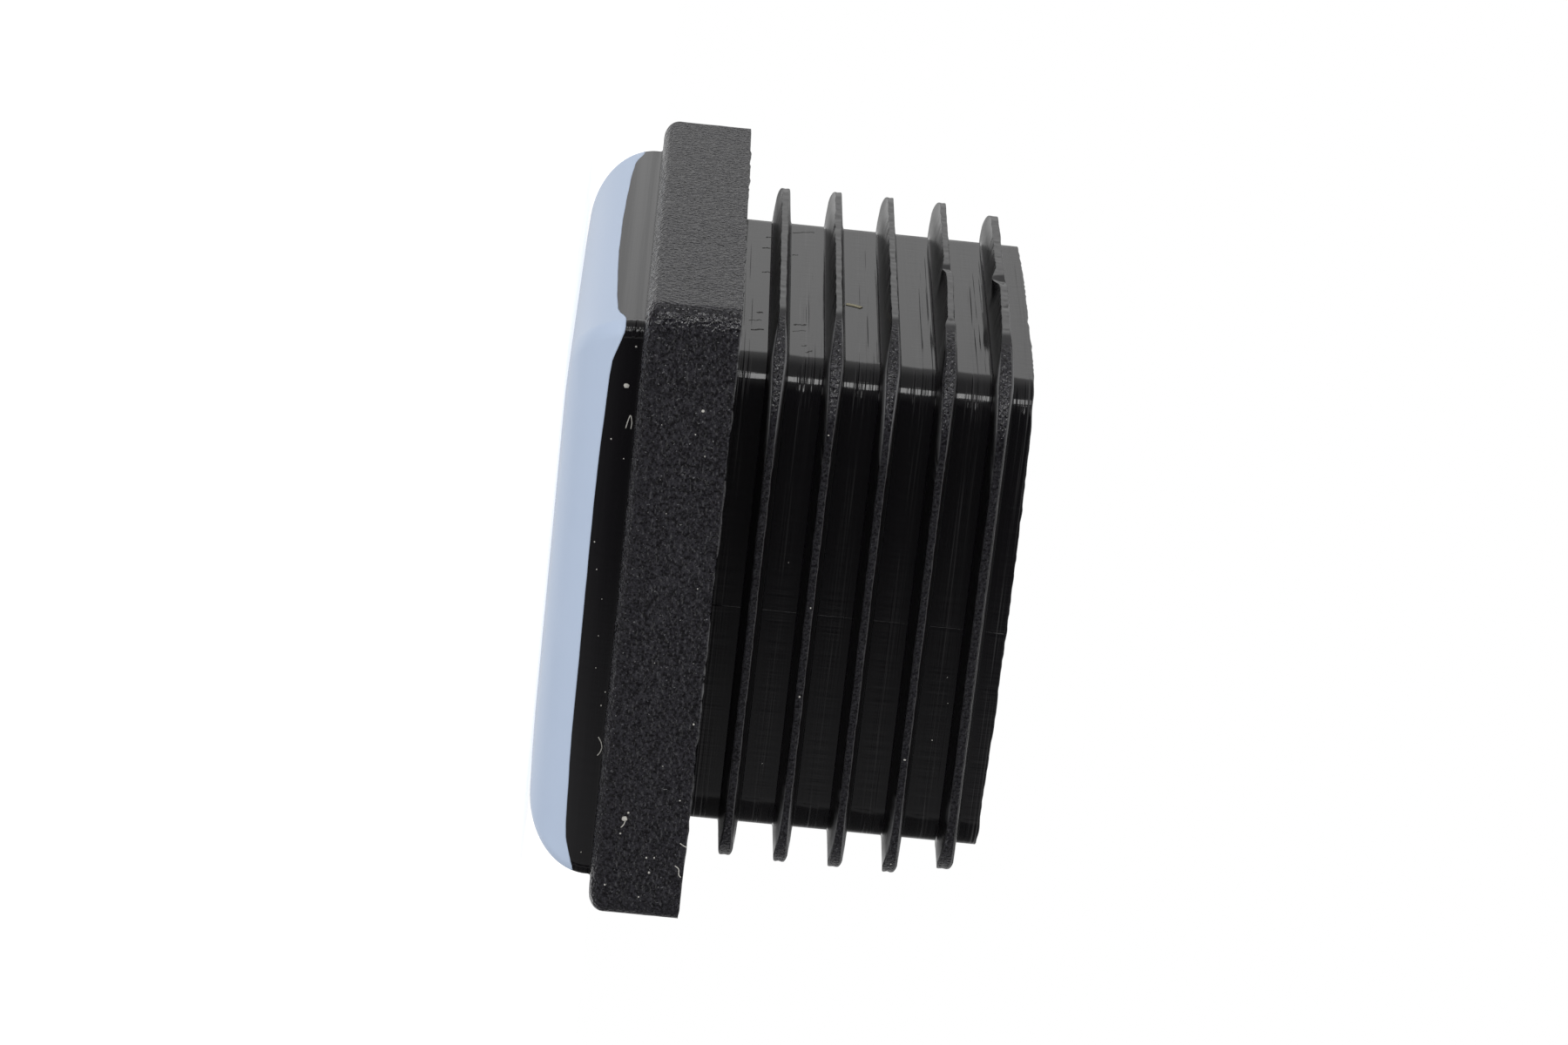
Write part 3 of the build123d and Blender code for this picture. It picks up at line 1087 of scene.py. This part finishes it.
def make_world():
    world = bpy.data.worlds.new("studio")
    world.use_nodes = True
    bpy.context.scene.world = world
    nodes = Nodes(world.node_tree)
    out = nodes.new("ShaderNodeOutputWorld")
    background = nodes.new("ShaderNodeBackground", in_Color=WHITE)
    strength = nodes.new("ShaderNodeMapRange", in_To_Min=WORLD_ON_OBJECT, in_To_Max=1.0)
    nodes.link(seen_directly(nodes), strength.inputs["Value"])
    nodes.link(strength.outputs[0], background.inputs["Strength"])
    nodes.link(background.outputs[0], out.inputs[0])


def make_key_light():
    data = bpy.data.lights.new("key", "AREA")
    data.shape = "RECTANGLE"
    data.size, data.size_y = KEY_SIZE
    data.energy = KEY_POWER
    lamp = new_object("key", data)
    direction = KEY_DIRECTION.normalized()
    across = direction.cross(Vector((0, 0, 1))).normalized()
    along = direction.cross(across)
    placement = Matrix((across, along, direction)).transposed().to_4x4()
    placement.translation = KEY_TARGET + direction * KEY_DISTANCE
    lamp.matrix_world = placement
    lamp.visible_camera = False


def patch(nodes, direction, centre, full_degrees, end_degrees, height):
    """A soft round patch of this height about a direction."""
    towards = nodes.new("ShaderNodeVectorMath", operation="DOT_PRODUCT")
    nodes.link(direction, towards.inputs[0])
    towards.inputs[1].default_value = Vector(centre).normalized()
    start = math.cos(math.radians(end_degrees))
    end = math.cos(math.radians(full_degrees))
    return nodes.smooth_step(towards.outputs["Value"], start, end, height)


def room_glow():
    """The room's material: walls that glow, and a clear opening onto the backdrop."""
    material, nodes = new_material("room")
    out = nodes.new("ShaderNodeOutputMaterial")
    place = nodes.new("ShaderNodeTexCoord").outputs["Object"]
    normalize = nodes.new("ShaderNodeVectorMath", operation="NORMALIZE")
    nodes.link(place, normalize.inputs[0])
    direction = normalize.outputs[0]
    parts = nodes.new("ShaderNodeSeparateXYZ")
    nodes.link(direction, parts.inputs[0])
    strength = ROOM_DARK
    for axis, sign, *step in ROOM_STEPS:
        along = nodes.math("MULTIPLY", parts.outputs[axis], sign)
        strength = nodes.math("ADD", nodes.smooth_step(along, *step), strength)
    for one in (WINDOW, SCREEN, REFLECTOR):
        strength = nodes.math("ADD", patch(nodes, direction, *one), strength)
    glow = nodes.new("ShaderNodeEmission")
    nodes.link(strength, glow.inputs["Strength"])
    clear = nodes.new("ShaderNodeBsdfTransparent")
    mix = nodes.new("ShaderNodeMixShader")
    nodes.link(patch(nodes, direction, *BACKDROP), mix.inputs["Fac"])
    nodes.link(glow.outputs[0], mix.inputs[1])
    nodes.link(clear.outputs[0], mix.inputs[2])
    nodes.link(mix.outputs[0], out.inputs["Surface"])
    return material


def make_room():
    """The unlit room round the lit backdrop. Only reflections show it, as in a real studio."""
    mesh = bpy.data.meshes.new("room")
    shape = bmesh.new()
    bmesh.ops.create_uvsphere(
        shape, u_segments=ROOM_SEGMENTS, v_segments=ROOM_RINGS, radius=ROOM_RADIUS
    )
    shape.to_mesh(mesh)
    shape.free()
    mesh.materials.append(room_glow())
    room = new_object("room", mesh)
    room.visible_camera = False
    room.visible_diffuse = False
    room.visible_shadow = False


def floor_matter():
    """The floor's material: pale and matte, with a glow that only the camera sees."""
    material, nodes = new_material("floor")
    out = nodes.new("ShaderNodeOutputMaterial")
    matte = nodes.new("ShaderNodeBsdfDiffuse", in_Color=FLOOR_COLOUR)
    glow = nodes.new("ShaderNodeEmission", in_Color=WHITE)
    glow_strength = nodes.math("MULTIPLY", seen_directly(nodes), FLOOR_GLOW)
    nodes.link(glow_strength, glow.inputs["Strength"])
    both = nodes.new("ShaderNodeAddShader")
    nodes.link(matte.outputs[0], both.inputs[0])
    nodes.link(glow.outputs[0], both.inputs[1])
    nodes.link(both.outputs[0], out.inputs["Surface"])
    return material


def make_floor():
    mesh = bpy.data.meshes.new("floor")
    corners = [(x * FLOOR_REACH, y * FLOOR_REACH, 0) for x, y in FLOOR_CORNERS]
    mesh.from_pydata(corners, [], [(0, 1, 2, 3)])
    mesh.materials.append(floor_matter())
    floor = new_object("floor", mesh)
    floor.visible_diffuse = False
    floor.visible_glossy = False
    floor.visible_shadow = False


# ---- scene ---------------------------------------------------------------------------

bpy.context.scene.view_settings.view_transform = "Standard"
make_camera()
make_world()
make_key_light()
make_room()
make_floor()

black = black_moulding()
pale = pale_glide_film()

body_piece = insert_body(black)
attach(body_piece, "root")
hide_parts("insert_body")

skin_piece = glide_skin(pale)
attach(skin_piece, "root")
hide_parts("glide_skin")

dust = loose_matter("dust", *DUST)
straw = loose_matter("straw", *STRAW)
dirt = loose_matter("dirt", *DIRT)

loose_pieces = (
    (dust_specks(dust), "pale_glide_film"),
    (lint_fibres(dust), "pale_glide_film"),
    (straw_fibre(straw), "pale_glide_film"),
    (scuff_marks(dirt), "black_moulding"),
    (parting_line(black), "black_moulding"),
)
for piece, slot in loose_pieces:
    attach(piece, "root")
